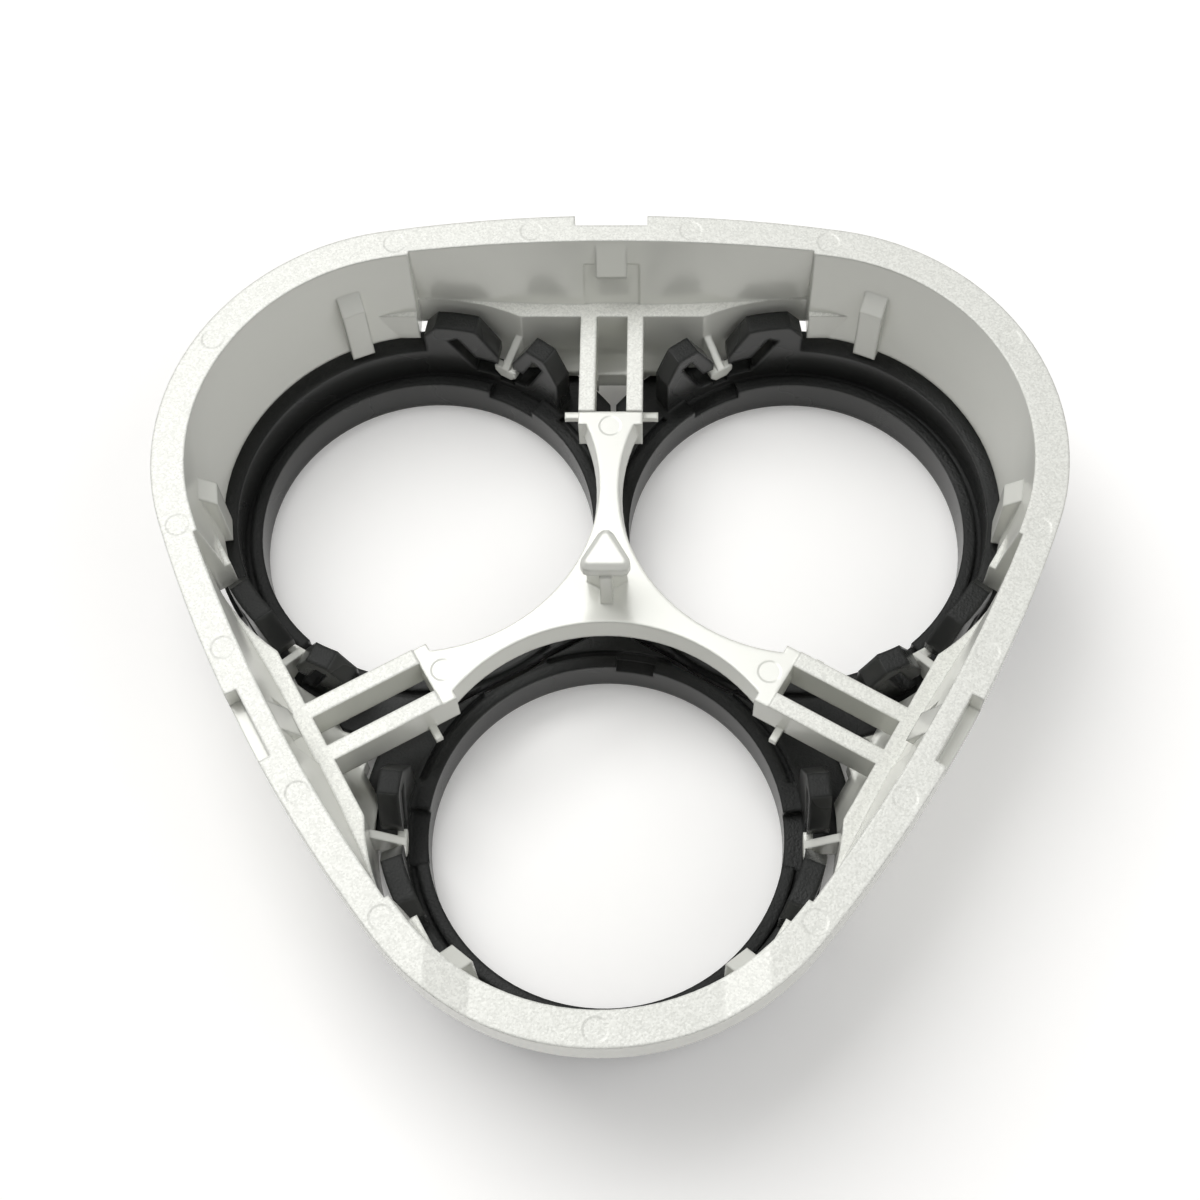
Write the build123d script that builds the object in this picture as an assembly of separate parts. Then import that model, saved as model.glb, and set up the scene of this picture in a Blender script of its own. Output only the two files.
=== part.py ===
from build123d import *
import math
import os

# Shaver head holder: one silver frame moulding and three black head rings that tilt in it.
# Sizes are in mm. It lies on the fronts of its rings: z = 0 is the table, the rim is on top.

# Where the three heads sit
HEAD_REACH = 14.7
RING_FRONT_WALL = 1.03
RING_GAP = 0.4
RING_CLEARANCE = 0.35

# Rim and outer wall of the frame
RIM_TOP = 14.7
RIM_MARGIN = 2.1
SIDE_BULGE = 1.05
RIM_WIDTH = 2.15
OUTER_BAND = 2.8
OUTER_DRAFT = 14.0
FRONT_HEIGHT = 2.2

# Cavity of the frame
FOOT_CLEARANCE = 0.8
FOOT_INSET = 0.85
FOOT_BULGE = 0.1
LEDGE_HEIGHT = 8.9
LEDGE_INSET = 4.25
PLATE_THICKNESS = 1.4
PLATE_ROUND = 1.5
JOIN = 0.3
ALCOVE_PAST_HEAD = 0.87
ALCOVE_STEP = 0.33
ALCOVE_DEPTH = 0.1
SKIRT_END = 5.0

# Rim details
NOTCH_WIDTH = 4.9
NOTCH_DEPTH = 0.8
NOTCH_HEIGHT = 1.7
DIP_HALF_WIDTH = 9.8
DIP_RAMP = 2.6
DIP_DEPTH = 0.4
LUG_WIDTH = 2.1
LUG_DROP = 0.12
LUG_HEIGHT = 2.75
LUG_DEPTH = 1.05
LUG_RECESS_WIDTH = 3.8
LUG_RECESS_TOP = 12.6
LUG_RECESS_DEPTH = 0.12

# Stop ribs on the corner walls
RIB_ANGLE = 38.0
RIB_WIDTH = 1.6
RIB_TOP = 12.3
RIB_FACE_TOP = 10.9
RIB_DEPTH = 1.4

# Three arms, their rails and the hub
RAIL_OUTER = 2.17
RAIL_INNER = 1.07
RAIL_DEPTH = 2.8
RAIL_LENGTH = 7.55
ARM_HEAD_LENGTH = 1.0
SILL_DEPTH = 1.45
TAB_REACH = 1.05
TAB_PLACE = 0.75
TAB_WIDTH = 0.5
TAB_HEIGHT = 0.45
ARM_TOP = 8.75
ARM_THICKNESS = 1.65
ARM_WAIST = 1.26
ARM_EDGE_DRAFT = 8.0
HUB_RADIUS = 4.2

# Centre pin
PIN_STEM_REACH = 1.3
PIN_RIB_WIDTH = 0.8
PIN_HEAD_BOTTOM = 12.5
PIN_HEAD_TOP = 13.6
PIN_HEAD_REACH = 2.3
PIN_HEAD_CORNER = 0.55
PIN_HEAD_BEVEL = 0.35
PIN_CORNER_TURNS = (-60, -20, 20, 60)

# Hinge fingers of the frame
HINGE_OUTWARD = 1.43
HINGE_HEIGHT = 4.2
CROSSBAR_PROUD = 0.2
FINGER_THICKNESS = 0.55
FINGER_ROOT_TOP = 6.8
CROSSBAR_WIDTH = 1.7
CROSSBAR_HEIGHT = 1.0
CROSSBAR_DEPTH = 0.6
CROSSBAR_PLAY = 0.3

# Head ring section
LIP_WIDTH = 0.5
RECESS_FLOOR = 2.2
RIDGE_WIDTH = 0.82
RIDGE_TOP = 2.9
CHANNEL_WIDTH = 0.43
CHANNEL_FLOOR = 2.4
FLANGE_WIDTH = 1.65
FLANGE_TOP = 5.4
FLANGE_EDGE = 1.2
FLANGE_HALF_ANGLE = 65.0
PAD_MARGIN = 1.5
PAD_TOP = 2.9
PAD_BOTTOM = 2.0
PAD_OUTWARD = 8.0
SIDE_RECESS_ANGLES = (79.2, 96.8)
SIDE_LAND_END = 106.0
INNER_RECESS_ANGLES = (165.0, 177.5)

# Ears of the head ring, by angle from the outward direction and height
EAR_THICKNESS = 1.4
EAR_TOP = 8.3
EAR_FINGER_GAP = 2.6
EAR_LIP_HEIGHT = 5.8
BIG_EAR_END = 57.5
BIG_EAR_SHOULDER = 7.2
BIG_EAR_FLAT = (61.5, 74.5)
SMALL_EAR_END = 104.0
SMALL_EAR_SHOULDER = 6.4
SMALL_EAR_FLAT = (99.0, 92.0)
SPRING_SLOT_WIDTH = 0.85
SPRING_SLOT_BOTTOM = 4.2
BIG_SLOT_ANGLES = (73.2, 67.5)
BIG_SLOT_TOP = 6.5
SMALL_SLOT_ANGLES = (90.5, 95.5)
SMALL_SLOT_TOP = 6.8

# Sizes that follow from the ones above
MID_DISTANCE = HEAD_REACH * math.sin(math.radians(60))
HALF_REACH = HEAD_REACH * math.cos(math.radians(60))
BAND_BOTTOM = RIM_TOP - OUTER_BAND
FRONT_LEAN = (BAND_BOTTOM - FRONT_HEIGHT) * math.tan(math.radians(OUTER_DRAFT))
PLATE_TOP = FRONT_HEIGHT + PLATE_THICKNESS
BORE_RADIUS = MID_DISTANCE - RING_GAP / 2 - RING_FRONT_WALL
ARM_EDGE_RADIUS = MID_DISTANCE - ARM_WAIST / 2
RIDGE_OUTER = BORE_RADIUS + RIDGE_WIDTH
RIDGE_MIDDLE = BORE_RADIUS + RIDGE_WIDTH / 2
WALL_RADIUS = RIDGE_OUTER + CHANNEL_WIDTH
FLANGE_RADIUS = WALL_RADIUS + FLANGE_WIDTH
EAR_RADIUS = WALL_RADIUS + EAR_THICKNESS
PAD_RADIUS = FLANGE_RADIUS + PAD_MARGIN
RIB_FACE_RADIUS = FLANGE_RADIUS - RIB_DEPTH
FINGER_REACH = WALL_RADIUS - CROSSBAR_PROUD
HOLE_RADIUS = FLANGE_RADIUS + RING_CLEARANCE
RIM_ARC = FLANGE_RADIUS + RIM_MARGIN
RIM_CORNER_REACH = HEAD_REACH + RIM_ARC
RIM_SIDE_REACH = HALF_REACH + RIM_ARC + SIDE_BULGE
LEDGE_FACE_REACH = RIM_SIDE_REACH - LEDGE_INSET
RAIL_START = LEDGE_FACE_REACH - RAIL_LENGTH
RAIL_BOTTOM = LEDGE_HEIGHT - RAIL_DEPTH
ALCOVE_HALF_WIDTH = MID_DISTANCE + ALCOVE_PAST_HEAD
PAD_HOLE_RADIUS = PAD_RADIUS + RING_CLEARANCE
PAD_SIDE_REACH = LEDGE_FACE_REACH - RING_CLEARANCE - HALF_REACH
WALL_FOOT = FLANGE_TOP + FOOT_CLEARANCE
CROSSBAR_TOP = HINGE_HEIGHT + CROSSBAR_HEIGHT / 2
CROSSBAR_BOTTOM = HINGE_HEIGHT - CROSSBAR_HEIGHT / 2
MOUTH_TOP = CROSSBAR_TOP + CROSSBAR_PLAY
MOUTH_BOTTOM = CROSSBAR_BOTTOM - CROSSBAR_PLAY
FINGER_ANGLE = math.degrees(math.atan2(FINGER_REACH + CROSSBAR_DEPTH / 2, HINGE_OUTWARD))
OPEN_TOP = RIM_TOP + 1.0
UNDER = -1.0
THIRDS = (0, 120, 240)


def polar(radius, angle):
    turn = math.radians(angle)
    return (radius * math.cos(turn), radius * math.sin(turn))


def rounded_triangle(corner_arc, side_bulge, height):
    """Three arcs about the heads, joined by side arcs that bow out by side_bulge."""
    rise = HALF_REACH + side_bulge
    side_shift = (HEAD_REACH ** 2 - rise ** 2) / (2 * side_bulge)
    side_arc = rise + corner_arc + side_shift
    edges = []
    for angle in THIRDS:
        head = Vector(*polar(HEAD_REACH, angle - 90))
        joints = []
        for side in (-60, 60):
            centre = Vector(*polar(-side_shift, angle - 90 + side))
            joints.append(centre + (head - centre).normalized() * side_arc)
        edges.append(ThreePointArc(joints[0], polar(HEAD_REACH + corner_arc, angle - 90), joints[1]))
        next_joint = joints[0].rotate(Axis.Z, 120)
        edges.append(ThreePointArc(joints[1], polar(rise + corner_arc, angle - 30), next_joint))
    return Pos(0, 0, height) * make_face(Curve() + edges)


def cylinder(radius, bottom, top):
    return Pos(0, 0, bottom) * Cylinder(radius, top - bottom, align=(Align.CENTER, Align.CENTER, Align.MIN))


def block(x_range, y_range, z_range):
    lows = [pair[0] for pair in (x_range, y_range, z_range)]
    sizes = [pair[1] - pair[0] for pair in (x_range, y_range, z_range)]
    return Pos(*lows) * Box(*sizes, align=(Align.MIN, Align.MIN, Align.MIN))


def side_profile(points, width):
    """Outline drawn in the YZ plane, thickened equally both ways along X."""
    face = make_face(Polyline(*[(0, y, z) for y, z in points], close=True))
    return extrude(face, amount=width / 2, both=True)


def at_thirds(shape):
    return [Rot(0, 0, angle) * shape for angle in THIRDS]


def at_head(shape):
    return Pos(0, -HEAD_REACH, 0) * shape


def mirrored_pair(shape):
    return [shape, mirror(shape, about=Plane.YZ)]


def wall_depth(height):
    """0 at the rim and 1 at the foot of the cavity wall."""
    return (RIM_TOP - height) / (RIM_TOP - WALL_FOOT)


def cavity_arc(height):
    return RIM_ARC - RIM_WIDTH - FOOT_INSET * wall_depth(height)


def cavity_bulge(height):
    return SIDE_BULGE + (FOOT_BULGE - SIDE_BULGE) * wall_depth(height)


def cavity_reach(height):
    """Distance from the middle to the cavity wall, half-way along a side."""
    return HALF_REACH + cavity_arc(height) + cavity_bulge(height)


def cavity_outline(height):
    return rounded_triangle(cavity_arc(height), cavity_bulge(height), height)


def outer_body():
    rim = rounded_triangle(RIM_ARC, SIDE_BULGE, BAND_BOTTOM)
    front = rounded_triangle(RIM_ARC - FRONT_LEAN, SIDE_BULGE, FRONT_HEIGHT)
    return extrude(rim, OUTER_BAND) + loft([front, rim], ruled=True)


def well_sides():
    """Flat walls across the three arms, rounded where they meet the plate."""
    far = 2 * RIM_CORNER_REACH
    turn = LEDGE_FACE_REACH - PLATE_ROUND
    rounded_to = PLATE_TOP + PLATE_ROUND
    outline = [
        Line((0, -far, PLATE_TOP), (0, turn, PLATE_TOP)),
        TangentArc((0, turn, PLATE_TOP), (0, LEDGE_FACE_REACH, rounded_to), tangent=(0, 1, 0)),
        Line((0, LEDGE_FACE_REACH, rounded_to), (0, LEDGE_FACE_REACH, LEDGE_HEIGHT)),
        Line((0, LEDGE_FACE_REACH, LEDGE_HEIGHT), (0, -far, LEDGE_HEIGHT)),
        Line((0, -far, LEDGE_HEIGHT), (0, -far, PLATE_TOP)),
    ]
    first, second, third = at_thirds(extrude(make_face(Curve() + outline), amount=far, both=True))
    return first & second & third


def lower_well():
    foot = cavity_outline(WALL_FOOT)
    sections = [Pos(0, 0, PLATE_TOP - WALL_FOOT) * foot, foot, cavity_outline(LEDGE_HEIGHT)]
    return loft(sections, ruled=True) & well_sides()


def pocket_edge(offset):
    """How far out an ear pocket reaches, at a sideways offset from the arm."""
    return HALF_REACH + math.sqrt(HOLE_RADIUS ** 2 - (MID_DISTANCE - offset) ** 2)


def ear_pocket():
    """Upright pocket in the back wall, so that the ears of one head can lean."""
    side = block((0, ALCOVE_HALF_WIDTH), (HALF_REACH, 2 * HEAD_REACH), (UNDER, OPEN_TOP))
    return Pos(MID_DISTANCE, HALF_REACH, 0) * cylinder(HOLE_RADIUS, PLATE_TOP, LEDGE_HEIGHT) & side


def alcove_outline(middle, end, height):
    """Outline with one smooth wall, drawn through its middle and its two ends."""
    half = ALCOVE_HALF_WIDTH
    wall = Spline((-half, end), (0, middle), (half, end))
    sides = Polyline((half, end), (half, HEAD_REACH), (-half, HEAD_REACH), (-half, end))
    return Pos(0, 0, height) * make_face(Curve() + [wall, sides])


def alcove():
    """Smooth wall above the ledge, set back behind the ears of two heads."""
    top_end = HALF_REACH + math.sqrt(cavity_arc(RIM_TOP) ** 2 - ALCOVE_PAST_HEAD ** 2) + ALCOVE_STEP
    top = alcove_outline(cavity_reach(RIM_TOP) + ALCOVE_DEPTH, top_end, RIM_TOP)
    low_end = pocket_edge(ALCOVE_HALF_WIDTH) + 2 * ALCOVE_DEPTH
    low = alcove_outline(cavity_reach(LEDGE_HEIGHT) + ALCOVE_DEPTH, low_end, LEDGE_HEIGHT)
    return loft([low, top], ruled=True)


def head_hole():
    """Hole for one head: wide for its pads, and open under the corner wall."""
    corners = [polar(2 * LEDGE_FACE_REACH, angle - 90) for angle in THIRDS]
    inside = extrude(Pos(0, 0, UNDER) * make_face(Polyline(*corners, close=True)), PLATE_TOP - UNDER)
    pads = at_head(cylinder(PAD_HOLE_RADIUS, UNDER, PLATE_TOP)) & inside
    body = cylinder(HOLE_RADIUS, UNDER, WALL_FOOT)
    corner = block((-PAD_RADIUS, PAD_RADIUS), (-2 * PAD_RADIUS, -SKIRT_END), (UNDER, WALL_FOOT))
    return [pads, at_head(body), at_head(corner)]


def rim_notch():
    lengthwise = (RIM_SIDE_REACH - NOTCH_DEPTH, RIM_CORNER_REACH)
    return block((-NOTCH_WIDTH / 2, NOTCH_WIDTH / 2), lengthwise, (RIM_TOP - NOTCH_HEIGHT, OPEN_TOP))


def front_dip():
    floor = DIP_HALF_WIDTH - DIP_RAMP
    points = [
        (-DIP_HALF_WIDTH, RIM_TOP),
        (-floor, RIM_TOP - DIP_DEPTH),
        (floor, RIM_TOP - DIP_DEPTH),
        (DIP_HALF_WIDTH, RIM_TOP),
        (DIP_HALF_WIDTH, OPEN_TOP),
        (-DIP_HALF_WIDTH, OPEN_TOP),
    ]
    face = make_face(Polyline(*[(x, 0, z) for x, z in points], close=True))
    return extrude(face, amount=2 * RIM_CORNER_REACH, dir=(0, -1, 0)) & block(
        (-DIP_HALF_WIDTH, DIP_HALF_WIDTH), (-2 * RIM_CORNER_REACH, -HEAD_REACH), (0, OPEN_TOP)
    )


def rim_lug():
    """Snap lug in the middle of a side, just under the rim."""
    face = cavity_reach(RIM_TOP) + ALCOVE_DEPTH
    root = face + RIM_WIDTH / 2
    top = RIM_TOP - LUG_DROP
    low = top - LUG_HEIGHT
    return side_profile([(face, top), (face - LUG_DEPTH, low), (root, low), (root, top)], LUG_WIDTH)


def lug_recess():
    """Shallow field in the wall below a lug, left by the tool that forms it."""
    rows = [(cavity_reach(height) + ALCOVE_DEPTH, height) for height in (LUG_RECESS_TOP, LEDGE_HEIGHT)]
    outside = [(reach + LUG_RECESS_DEPTH, height) for reach, height in rows]
    inside = [(HEAD_REACH, height) for reach, height in reversed(rows)]
    return side_profile(outside + inside, LUG_RECESS_WIDTH)


def stop_rib():
    """Rib on a corner wall whose foot stops the ring's flange from rising."""
    root = FLANGE_RADIUS
    foot = FLANGE_TOP + RING_CLEARANCE
    points = [
        (-root, RIB_TOP),
        (-RIB_FACE_RADIUS, RIB_FACE_TOP),
        (-RIB_FACE_RADIUS, foot),
        (-root + RIM_WIDTH / 3, foot),
        (-root, WALL_FOOT),
    ]
    return at_head(Rot(0, 0, RIB_ANGLE) * side_profile(points, RIB_WIDTH))


def rails():
    lengthwise = (RAIL_START, LEDGE_FACE_REACH + JOIN)
    rail = block((RAIL_INNER, RAIL_OUTER), lengthwise, (RAIL_BOTTOM, LEDGE_HEIGHT))
    tab_start = RAIL_START + TAB_PLACE
    tab = block(
        (RAIL_INNER, RAIL_OUTER + TAB_REACH),
        (tab_start, tab_start + TAB_WIDTH),
        (RAIL_BOTTOM, RAIL_BOTTOM + TAB_HEIGHT),
    )
    head_start = RAIL_START - ARM_HEAD_LENGTH
    head = block((-RAIL_OUTER, RAIL_OUTER), (head_start, RAIL_START), (RAIL_BOTTOM, ARM_TOP))
    return mirrored_pair(rail) + mirrored_pair(tab) + [head]


def spider():
    """Three arms and their hub, with edges that follow the heads below."""
    bottom = ARM_TOP - ARM_THICKNESS
    body = cylinder(HUB_RADIUS, bottom, ARM_TOP)
    body += at_thirds(block((-RAIL_OUTER, RAIL_OUTER), (0, RAIL_START), (bottom, ARM_TOP)))
    foot_radius = ARM_EDGE_RADIUS - ARM_THICKNESS * math.tan(math.radians(ARM_EDGE_DRAFT))
    edge = Cone(foot_radius, ARM_EDGE_RADIUS, ARM_THICKNESS, align=(Align.CENTER, Align.CENTER, Align.MIN))
    return body - at_thirds(at_head(Pos(0, 0, bottom) * edge))


def pin_outline(inset, height):
    """Triangle with its corners rounded by short flats."""
    points = []
    for angle in THIRDS:
        corner = Vector(*polar(PIN_HEAD_REACH - 2 * PIN_HEAD_CORNER, angle + 90))
        for turn in PIN_CORNER_TURNS:
            points.append(corner + Vector(*polar(PIN_HEAD_CORNER - inset, angle + 90 + turn)))
    return Pos(0, 0, height) * make_face(Polyline(*points, close=True))


def centre_pin():
    rib = Pos(0, -PIN_STEM_REACH / 2, ARM_TOP) * Box(
        PIN_RIB_WIDTH, PIN_STEM_REACH, PIN_HEAD_BOTTOM - ARM_TOP, align=(Align.CENTER, Align.CENTER, Align.MIN)
    )
    shoulder = PIN_HEAD_TOP - PIN_HEAD_BEVEL
    sections = [(0, PIN_HEAD_BOTTOM), (0, shoulder), (PIN_HEAD_BEVEL, PIN_HEAD_TOP)]
    head = loft([pin_outline(inset, height) for inset, height in sections], ruled=True)
    return at_thirds(rib) + [head]


def hinge_finger():
    """Blade that reaches in from the wall and ends in a crossbar between two ears."""
    tip = FINGER_REACH + CROSSBAR_DEPTH
    root = HOLE_RADIUS + 2 * JOIN
    blade_points = [
        (FINGER_REACH, CROSSBAR_TOP),
        (root, FINGER_ROOT_TOP),
        (root, CROSSBAR_BOTTOM),
        (FINGER_REACH, CROSSBAR_BOTTOM),
    ]
    blade = make_face(Polyline(*[(x, 0, z) for x, z in blade_points], close=True))
    blade = extrude(blade, amount=FINGER_THICKNESS / 2, both=True)
    half = CROSSBAR_WIDTH / 2
    bar_points = [
        (-half, CROSSBAR_TOP),
        (half, CROSSBAR_TOP),
        (half, HINGE_HEIGHT),
        (half / 2, CROSSBAR_BOTTOM),
        (-half / 2, CROSSBAR_BOTTOM),
        (-half, HINGE_HEIGHT),
    ]
    bar = make_face(Polyline(*[(FINGER_REACH, y, z) for y, z in bar_points], close=True))
    bar = extrude(bar, amount=CROSSBAR_DEPTH, dir=(1, 0, 0))
    return at_head(Pos(0, -HINGE_OUTWARD, 0) * (blade + bar))


def holder_frame():
    cavity = loft([cavity_outline(LEDGE_HEIGHT), cavity_outline(RIM_TOP)], ruled=True)
    frame = outer_body() - cavity - lower_well()
    sill = LEDGE_FACE_REACH - SILL_DEPTH
    slot = block((-RAIL_INNER, RAIL_INNER), (RAIL_START, sill), (UNDER, LEDGE_HEIGHT))
    cuts = [alcove(), lug_recess(), rim_notch(), slot] + mirrored_pair(ear_pocket()) + head_hole()
    for cut in cuts:
        frame -= at_thirds(cut)
    frame -= front_dip()
    pieces = rails() + [rim_lug()] + mirrored_pair(stop_rib()) + mirrored_pair(hinge_finger())
    for piece in pieces:
        frame += at_thirds(piece)
    frame += spider()
    return frame + centre_pin()


def ring_core():
    """The full turn of the ring: front lip, bore and textured ridge."""
    outer = MID_DISTANCE - RING_GAP / 2
    points = [
        (BORE_RADIUS, 0),
        (BORE_RADIUS + LIP_WIDTH, 0),
        (outer, PAD_BOTTOM),
        (outer, CHANNEL_FLOOR),
        (RIDGE_OUTER, CHANNEL_FLOOR),
        (RIDGE_OUTER, RIDGE_TOP),
        (BORE_RADIUS, RIDGE_TOP),
    ]
    return revolve(make_face(Polyline(*[(r, 0, z) for r, z in points], close=True)), Axis.Z)


def ring_flange():
    """Raised wall of the ring on the side away from the middle."""
    points = [
        (BORE_RADIUS + LIP_WIDTH / 2, 0),
        (BORE_RADIUS + LIP_WIDTH, 0),
        (FLANGE_RADIUS, FLANGE_TOP - FLANGE_EDGE),
        (FLANGE_RADIUS, FLANGE_TOP),
        (WALL_RADIUS, FLANGE_TOP),
        (WALL_RADIUS, CHANNEL_FLOOR),
        (RIDGE_MIDDLE, CHANNEL_FLOOR),
    ]
    face = make_face(Polyline(*[(r, 0, z) for r, z in points], close=True))
    turn = 2 * FLANGE_HALF_ANGLE
    return Rot(0, 0, -90 - FLANGE_HALF_ANGLE) * revolve(face, Axis.Z, turn)


def outside_skin():
    """What lies outside the ring's cone where the frame leaves the ring bare."""
    edge = FLANGE_TOP - FLANGE_EDGE
    far = 2 * FLANGE_RADIUS
    points = [
        (BORE_RADIUS + LIP_WIDTH, 0),
        (FLANGE_RADIUS, edge),
        (FLANGE_RADIUS, EAR_TOP),
        (far, EAR_TOP),
        (far, 0),
    ]
    skin = revolve(make_face(Polyline(*[(r, 0, z) for r, z in points], close=True)), Axis.Z)
    return skin & block((-far, far), (-far, RING_CLEARANCE - SKIRT_END), (UNDER, OPEN_TOP))


def ring_pads():
    """Flat plate of the ring that nearly meets its neighbours under the arms."""
    plate = cylinder(PAD_RADIUS, PAD_BOTTOM, PAD_TOP) - cylinder(RIDGE_MIDDLE, UNDER, OPEN_TOP)
    plate -= cylinder(WALL_RADIUS, CHANNEL_FLOOR, OPEN_TOP)
    reach = 2 * PAD_RADIUS
    trims = [
        (-90, PAD_OUTWARD),
        (60, MID_DISTANCE - RING_GAP / 2),
        (120, MID_DISTANCE - RING_GAP / 2),
        (-30, PAD_SIDE_REACH),
        (210, PAD_SIDE_REACH),
    ]
    for angle, distance in trims:
        plate -= Rot(0, 0, angle) * block((distance, distance + reach), (-reach, reach), (UNDER, OPEN_TOP))
    return plate


def ear(outline, middle_angle, slot_angles, slot_top):
    """Curved plate with a slanted spring slot that opens towards the hinge finger."""

    def spot(angle, height):
        return (WALL_RADIUS * math.sin(math.radians(angle - middle_angle)), height)

    face = make_face(Polyline(*[spot(*point) for point in outline], close=True))
    low = Vector(*spot(slot_angles[0], SPRING_SLOT_BOTTOM))
    high = Vector(*spot(slot_angles[1], slot_top))
    lean = math.degrees(math.atan2(high.Y - low.Y, high.X - low.X))
    middle = (low + high) * 0.5
    slot = Rectangle((high - low).length + SPRING_SLOT_WIDTH, SPRING_SLOT_WIDTH)
    face -= Pos(middle.X, middle.Y) * Rot(0, 0, lean) * slot
    inner = low.X
    opening = 2 * (spot(FINGER_ANGLE, 0)[0] - inner)
    face -= Pos(inner + opening / 2, HINGE_HEIGHT) * Rectangle(abs(opening), MOUTH_TOP - MOUTH_BOTTOM)
    turn = math.radians(middle_angle)
    outward = (math.sin(turn), -math.cos(turn), 0)
    along = (math.cos(turn), math.sin(turn), 0)
    plate = extrude(Plane((0, 0, 0), x_dir=along, z_dir=outward) * face, amount=2 * EAR_RADIUS)
    return plate & (cylinder(EAR_RADIUS, UNDER, OPEN_TOP) - cylinder(WALL_RADIUS, UNDER, OPEN_TOP))


def ear_outline(end, shoulder, flat, near):
    return [
        (end, PAD_BOTTOM),
        (end, shoulder),
        (flat[0], EAR_TOP),
        (flat[1], EAR_TOP),
        (near, EAR_LIP_HEIGHT),
        (near, PAD_BOTTOM),
    ]


def big_ear():
    near = FINGER_ANGLE - EAR_FINGER_GAP
    outline = ear_outline(BIG_EAR_END, BIG_EAR_SHOULDER, BIG_EAR_FLAT, near)
    return ear(outline, (BIG_EAR_END + near) / 2, BIG_SLOT_ANGLES, BIG_SLOT_TOP)


def small_ear():
    near = FINGER_ANGLE + EAR_FINGER_GAP
    outline = ear_outline(SMALL_EAR_END, SMALL_EAR_SHOULDER, SMALL_EAR_FLAT, near)
    return ear(outline, (SMALL_EAR_END + near) / 2, SMALL_SLOT_ANGLES, SMALL_SLOT_TOP)


def sector(angles, inner, outer, bottom, top):
    """Piece of a flat ring between two angles from the outward direction."""
    points = [(inner, bottom), (outer, bottom), (outer, top), (inner, top)]
    section = make_face(Polyline(*[(r, 0, z) for r, z in points], close=True))
    return Rot(0, 0, angles[0] - 90) * revolve(section, Axis.Z, angles[1] - angles[0])


def head_ring():
    """One ring, drawn as the front one: outward is -Y and the hinge runs along X."""
    ring = ring_core() + ring_flange()
    for piece in mirrored_pair(big_ear()) + mirrored_pair(small_ear()):
        ring += piece
    ring += ring_pads()
    land_angles = (SIDE_RECESS_ANGLES[1], SIDE_LAND_END)
    land = sector(land_angles, RIDGE_MIDDLE, WALL_RADIUS + JOIN, CHANNEL_FLOOR, PAD_TOP)
    for piece in mirrored_pair(land):
        ring += piece
    ring -= outside_skin()
    side_recess = sector(SIDE_RECESS_ANGLES, BORE_RADIUS - JOIN, WALL_RADIUS, RECESS_FLOOR, OPEN_TOP)
    for piece in mirrored_pair(side_recess):
        ring -= piece
    return ring - sector(INNER_RECESS_ANGLES, BORE_RADIUS - JOIN, RIDGE_OUTER, RECESS_FLOOR, OPEN_TOP)


def place_ring(ring, angle):
    return Rot(0, 0, angle) * at_head(ring)


os.makedirs("parts", exist_ok=True)
ring = head_ring()
export_step(holder_frame(), "parts/holder_frame.step")
export_step(place_ring(ring, 0), "parts/front_ring.step")
export_step(place_ring(ring, 120), "parts/right_ring.step")
export_step(place_ring(ring, 240), "parts/left_ring.step")
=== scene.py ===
import bpy
import math
from mathutils import Matrix, Vector


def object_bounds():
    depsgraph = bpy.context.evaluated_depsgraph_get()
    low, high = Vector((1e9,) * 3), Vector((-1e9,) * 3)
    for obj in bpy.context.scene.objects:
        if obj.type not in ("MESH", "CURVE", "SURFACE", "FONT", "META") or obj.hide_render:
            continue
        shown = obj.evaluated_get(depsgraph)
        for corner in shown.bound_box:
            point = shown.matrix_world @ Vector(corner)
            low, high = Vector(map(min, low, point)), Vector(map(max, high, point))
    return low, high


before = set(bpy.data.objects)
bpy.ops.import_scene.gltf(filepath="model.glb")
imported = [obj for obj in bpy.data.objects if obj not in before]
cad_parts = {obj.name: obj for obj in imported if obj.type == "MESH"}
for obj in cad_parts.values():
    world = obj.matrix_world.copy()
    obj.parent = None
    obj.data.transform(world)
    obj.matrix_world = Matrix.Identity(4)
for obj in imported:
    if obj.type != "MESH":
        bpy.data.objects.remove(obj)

CAD_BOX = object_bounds()
RINGS = ("front_ring", "left_ring", "right_ring")

# Camera, in metres and degrees
CAMERA_PLACE = Vector((0.00381, -0.05487, 0.12234))
CAMERA_AZIMUTH = -4.52
CAMERA_ELEVATION = 64.57
CAMERA_ROLL = -3.83
CAMERA_LENS = 58.37
SENSOR_WIDTH = 36
NEAREST_SEEN = 0.005

# Colours as linear values
SILVER_PLAIN = (0.85, 0.855, 0.80, 1)
FLAKE_LIGHT = (0.91, 0.915, 0.86, 1)
FLAKE_DARK = (0.74, 0.745, 0.695, 1)
# The lighter black of the ring walls is a painted reflection of the white floor; the darker black is the
# tops' own colour
BLACK_WALL_WITH_PAINTED_REFLECTION = (0.032, 0.033, 0.032, 1)
BLACK_TOP = (0.006, 0.007, 0.006, 1)
FLOOR_WHITE = (0.93, 0.92, 0.905, 1)

# Sizes of texture grains, in cells per metre
FLAKE_SCALE = 9000
GRAIN_SCALE = 6000
CLOUD_SCALE = 120

# Roughness and relief: smooth walls and grainy top faces
SILVER_ROUGHNESS = (0.22, 0.4)
SILVER_GRAIN = (0.03, 0.6)
METAL_SHARE = 0.1
BLACK_ROUGHNESS = (0.27, 0.55)
BLACK_GRAIN = (0.05, 1.0)
BLACK_GRAIN_DEPTH = 0.00005
BLACK_SHINE = 0.45
UPWARD = (0.75, 0.95)

# Radius that the eye sees on moulded edges, in metres
SILVER_EDGE = 0.00025
BLACK_EDGE = 0.0004

# Heights of the faces with a sparkling finish, in metres
RAIL_TOP = 0.0089
RAIL_BAND = 0.00006
RIM_LEVEL = 0.0141

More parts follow.
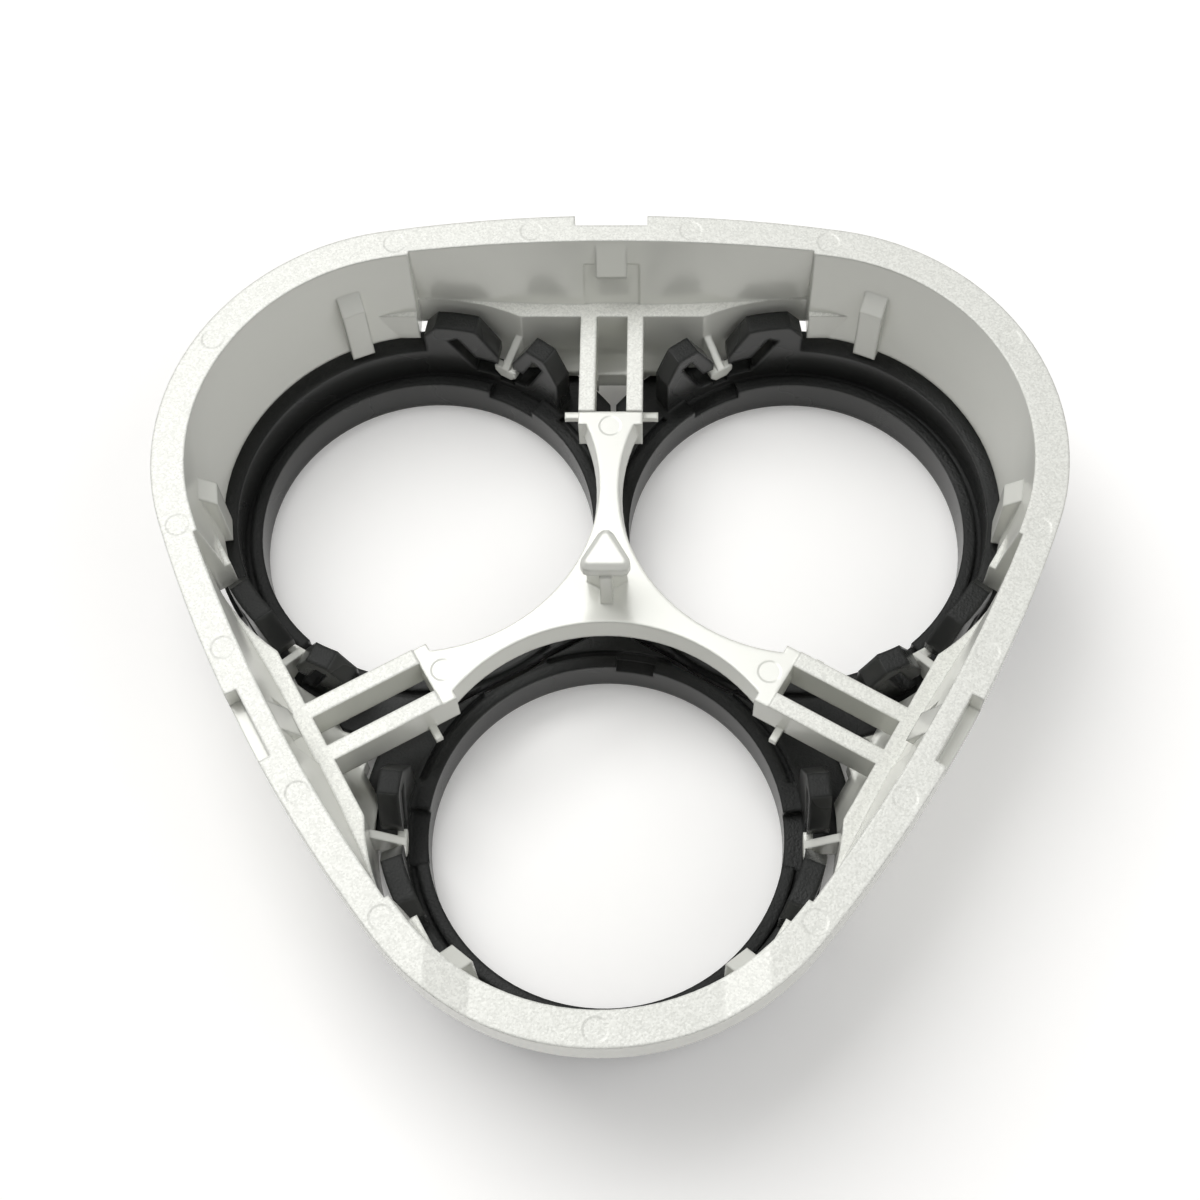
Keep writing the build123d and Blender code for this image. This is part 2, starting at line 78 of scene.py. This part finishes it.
# Ejector marks: degrees from the nearest corner of the rim, distance from the middle in metres
MARK_SPOTS = ((0.0, 0.03013), (27.3, 0.02694), (47.2, 0.02425), (60.0, 0.01200))
MARK_RADIUS = 0.0008
MARK_EDGE = 0.00015
MARK_DEPTH = 0.00003

# Lamps: place and width in metres, power in watts
KEY_PLACE = (-0.18, 0.2, 0.5)
KEY_WIDTH = 0.4
KEY_POWER = 2.15
FILL_PLACE = (0.3, -0.1, 0.35)
FILL_WIDTH = 0.3
FILL_POWER = 0.45
ROOM_LIGHT = 0.25

# Floor: half its side, its added brightness and how open a spot has to be to get it; in narrow gaps the
# brightness is taken away, a painted shade
FLOOR_HALF = 0.6
FLOOR_ROUGHNESS = 0.9
FLOOR_GLOW = 0.22
GAP_REACH = 0.005
GAP_OPENNESS = (0.3, 0.6)


class Nodes:
    """Short way to add linked shader nodes to one material."""

    def __init__(self, name):
        self.material = bpy.data.materials.new(name)
        self.material.use_nodes = True
        self.tree = self.material.node_tree
        self.shader = self.tree.nodes["Principled BSDF"]
        self.output = self.tree.nodes["Material Output"]
        self.place = self.add("ShaderNodeTexCoord").outputs["Object"]

    def add(self, kind, **values):
        node = self.tree.nodes.new(kind)
        for key, value in values.items():
            setattr(node, key, value)
        return node

    def link(self, source, target):
        self.tree.links.new(source, target)

    def noise(self, scale, detail=2.0):
        node = self.add("ShaderNodeTexNoise")
        node.inputs["Scale"].default_value = scale
        node.inputs["Detail"].default_value = detail
        self.link(self.place, node.inputs["Vector"])
        return node.outputs["Fac"]

    def cells(self, scale):
        node = self.add("ShaderNodeTexVoronoi")
        node.inputs["Scale"].default_value = scale
        self.link(self.place, node.inputs["Vector"])
        return node.outputs["Color"]

    def ramp(self, source, low, high, from_value, to_value):
        node = self.add("ShaderNodeMapRange")
        node.inputs["From Min"].default_value = low
        node.inputs["From Max"].default_value = high
        node.inputs["To Min"].default_value = from_value
        node.inputs["To Max"].default_value = to_value
        self.link(source, node.inputs["Value"])
        return node.outputs["Result"]

    def mix_colour(self, factor, first, second):
        node = self.add("ShaderNodeMix", data_type="RGBA")
        self.link(factor, node.inputs["Factor"])
        for value, socket in ((first, node.inputs[6]), (second, node.inputs[7])):
            if isinstance(value, tuple):
                socket.default_value = value
            else:
                self.link(value, socket)
        return node.outputs[2]

    def math(self, operation, *values):
        node = self.add("ShaderNodeMath", operation=operation)
        for value, socket in zip(values, node.inputs):
            if isinstance(value, (int, float)):
                socket.default_value = value
            else:
                self.link(value, socket)
        return node.outputs[0]

    def ejector_marks(self):
        """1 inside the round marks on the rim and the arms, folded onto one sixth of the part."""
        split = self.add("ShaderNodeSeparateXYZ")
        self.link(self.place, split.inputs["Vector"])
        x, y = split.outputs["X"], split.outputs["Y"]
        angle = self.math("SUBTRACT", self.math("ARCTAN2", y, x), math.radians(30))
        folded = self.math("PINGPONG", angle, math.radians(60))
        reach = self.math("SQRT", self.math("ADD", self.math("MULTIPLY", x, x), self.math("MULTIPLY", y, y)))
        spot = self.add("ShaderNodeCombineXYZ")
        self.link(self.math("MULTIPLY", reach, self.math("COSINE", folded)), spot.inputs["X"])
        self.link(self.math("MULTIPLY", reach, self.math("SINE", folded)), spot.inputs["Y"])
        nearest = None
        for degrees, distance in MARK_SPOTS:
            gap = self.add("ShaderNodeVectorMath", operation="DISTANCE")
            turn = math.radians(degrees)
            self.link(spot.outputs["Vector"], gap.inputs[0])
            gap.inputs[1].default_value = (distance * math.cos(turn), distance * math.sin(turn), 0)
            gap = gap.outputs["Value"]
            nearest = gap if nearest is None else self.math("MINIMUM", nearest, gap)
        return self.ramp(nearest, MARK_RADIUS - MARK_EDGE, MARK_RADIUS, 1.0, 0.0)

    def facing_up(self):
        """1 on faces that look along +Z, 0 on walls."""
        split = self.add("ShaderNodeSeparateXYZ")
        self.link(self.add("ShaderNodeNewGeometry").outputs["Normal"], split.inputs["Vector"])
        return self.ramp(split.outputs["Z"], *UPWARD, 0.0, 1.0)

    def bump(self, height, distance, edge_radius):
        """Surface relief on top of rounded edges."""
        edge = self.add("ShaderNodeBevel", samples=6)
        edge.inputs["Radius"].default_value = edge_radius
        node = self.add("ShaderNodeBump")
        node.inputs["Distance"].default_value = distance
        self.link(height, node.inputs["Height"])
        self.link(edge.outputs["Normal"], node.inputs["Normal"])
        self.link(node.outputs["Normal"], self.shader.inputs["Normal"])


def sparkling_faces(nodes, flat):
    """1 on the flat tops of the rim, rails and ledges, 0 on the smooth rest."""
    split = nodes.add("ShaderNodeSeparateXYZ")
    nodes.link(nodes.place, split.inputs["Vector"])
    height = split.outputs["Z"]
    rails = nodes.math("COMPARE", height, RAIL_TOP, RAIL_BAND)
    rim = nodes.math("GREATER_THAN", height, RIM_LEVEL)
    return nodes.math("MULTIPLY", nodes.math("MAXIMUM", rails, rim), flat)


def silver_plastic():
    """Silver plastic with metal flake, sparkling on the rim and rails and smooth elsewhere."""
    nodes = Nodes("silver_flake_plastic")
    flat = nodes.facing_up()
    sparkle = sparkling_faces(nodes, flat)
    marks = nodes.math("MULTIPLY", nodes.ejector_marks(), flat)
    flake = nodes.add("ShaderNodeSeparateColor")
    nodes.link(nodes.cells(FLAKE_SCALE), flake.inputs["Color"])
    grainy = nodes.mix_colour(flake.outputs["Red"], FLAKE_LIGHT, FLAKE_DARK)
    nodes.link(nodes.mix_colour(sparkle, SILVER_PLAIN, grainy), nodes.shader.inputs["Base Color"])
    nodes.link(nodes.ramp(sparkle, 0.0, 1.0, *SILVER_ROUGHNESS), nodes.shader.inputs["Roughness"])
    nodes.shader.inputs["Metallic"].default_value = METAL_SHARE
    grain = nodes.math("MULTIPLY", nodes.noise(GRAIN_SCALE), nodes.ramp(sparkle, 0.0, 1.0, *SILVER_GRAIN))
    nodes.bump(nodes.math("SUBTRACT", grain, marks), MARK_DEPTH, SILVER_EDGE)
    return nodes.material


def black_plastic():
    """Black plastic, finely eroded on its top faces and smoother on the walls; the walls get a lighter black
    than the tops, a painted reflection of the white floor.
    """
    nodes = Nodes("black_plastic")
    flat = nodes.facing_up()
    cloud = nodes.ramp(nodes.noise(CLOUD_SCALE, 3.0), 0.3, 0.7, 0.85, 1.15)
    roughness = nodes.math("MULTIPLY", nodes.ramp(flat, 0.0, 1.0, *BLACK_ROUGHNESS), cloud)
    # Walls get the lighter black, a painted reflection of the floor; tops get the darker black
    nodes.link(nodes.mix_colour(flat, BLACK_WALL_WITH_PAINTED_REFLECTION, BLACK_TOP), nodes.shader.inputs["Base Color"])
    nodes.link(roughness, nodes.shader.inputs["Roughness"])
    nodes.shader.inputs["Specular IOR Level"].default_value = BLACK_SHINE
    grain = nodes.math("MULTIPLY", nodes.noise(GRAIN_SCALE), nodes.ramp(flat, 0.0, 1.0, *BLACK_GRAIN))
    nodes.bump(grain, BLACK_GRAIN_DEPTH, BLACK_EDGE)
    return nodes.material


def set_material(node, material):
    slots = bpy.data.objects[node].material_slots
    for slot in slots:
        slot.material = material


def floor_material():
    """White paper that shows a little over-lit and keeps its shadows; in narrow gaps ambient occlusion takes
    its added glow away so it stays dark there, a painted shade.
    """
    nodes = Nodes("white_paper")
    nodes.shader.inputs["Base Color"].default_value = FLOOR_WHITE
    nodes.shader.inputs["Roughness"].default_value = FLOOR_ROUGHNESS
    glow = nodes.add("ShaderNodeEmission")
    glow.inputs["Color"].default_value = (1, 1, 1, 1)
    rays = nodes.add("ShaderNodeLightPath")
    seen = nodes.math("MAXIMUM", rays.outputs["Is Camera Ray"], rays.outputs["Is Glossy Ray"])
    seen = nodes.math("MAXIMUM", seen, rays.outputs["Is Transmission Ray"])
    # Ambient occlusion removes the glow in narrow gaps between and under the parts: painted shade
    painted_gap_shade = nodes.add("ShaderNodeAmbientOcclusion", samples=8)
    painted_gap_shade.inputs["Distance"].default_value = GAP_REACH
    glow_with_painted_gap_shade = nodes.ramp(painted_gap_shade.outputs["AO"], *GAP_OPENNESS, 0.0, FLOOR_GLOW)
    nodes.link(nodes.math("MULTIPLY", seen, glow_with_painted_gap_shade), glow.inputs["Strength"])
    total = nodes.add("ShaderNodeAddShader")
    nodes.link(nodes.shader.outputs["BSDF"], total.inputs[0])
    nodes.link(glow.outputs["Emission"], total.inputs[1])
    nodes.link(total.outputs["Shader"], nodes.output.inputs["Surface"])
    return nodes.material


def add_floor():
    mesh = bpy.data.meshes.new("floor")
    low = CAD_BOX[0][2]
    signs = ((-1, -1), (1, -1), (1, 1), (-1, 1))
    corners = [(x * FLOOR_HALF, y * FLOOR_HALF, low) for x, y in signs]
    mesh.from_pydata(corners, [], [(0, 1, 2, 3)])
    floor = bpy.data.objects.new("floor", mesh)
    floor.data.materials.append(floor_material())
    bpy.context.scene.collection.objects.link(floor)


def add_light(name, place, width, power):
    light = bpy.data.lights.new(name, "AREA")
    light.size = width
    light.energy = power
    lamp = bpy.data.objects.new(name, light)
    lamp.location = place
    lamp.rotation_euler = (-Vector(place)).to_track_quat("-Z", "Y").to_euler()
    bpy.context.scene.collection.objects.link(lamp)


def add_world():
    world = bpy.data.worlds.new("soft_room")
    world.use_nodes = True
    world.node_tree.nodes["Background"].inputs["Color"].default_value = (1, 1, 1, 1)
    world.node_tree.nodes["Background"].inputs["Strength"].default_value = ROOM_LIGHT
    bpy.context.scene.world = world


def add_camera():
    azimuth = math.radians(CAMERA_AZIMUTH)
    elevation = math.radians(CAMERA_ELEVATION)
    roll = math.radians(CAMERA_ROLL)
    level = math.cos(elevation)
    ahead = Vector((level * math.sin(azimuth), level * math.cos(azimuth), -math.sin(elevation)))
    right = Vector((math.cos(azimuth), -math.sin(azimuth), 0))
    up = right.cross(ahead)
    rolled_right = right * math.cos(roll) + up * math.sin(roll)
    rolled_up = up * math.cos(roll) - right * math.sin(roll)
    turn = Matrix((rolled_right, rolled_up, -ahead)).transposed().to_4x4()
    data = bpy.data.cameras.new("camera")
    data.sensor_width = SENSOR_WIDTH
    data.lens = CAMERA_LENS
    data.clip_start = NEAREST_SEEN
    camera = bpy.data.objects.new("camera", data)
    camera.matrix_world = Matrix.Translation(CAMERA_PLACE) @ turn
    bpy.context.scene.collection.objects.link(camera)
    bpy.context.scene.camera = camera


set_material("holder_frame", silver_plastic())
ring_black = black_plastic()
for ring in RINGS:
    set_material(ring, ring_black)
add_floor()
add_world()
add_light("key", KEY_PLACE, KEY_WIDTH, KEY_POWER)
add_light("fill", FILL_PLACE, FILL_WIDTH, FILL_POWER)
add_camera()
bpy.context.scene.view_settings.view_transform = "Standard"
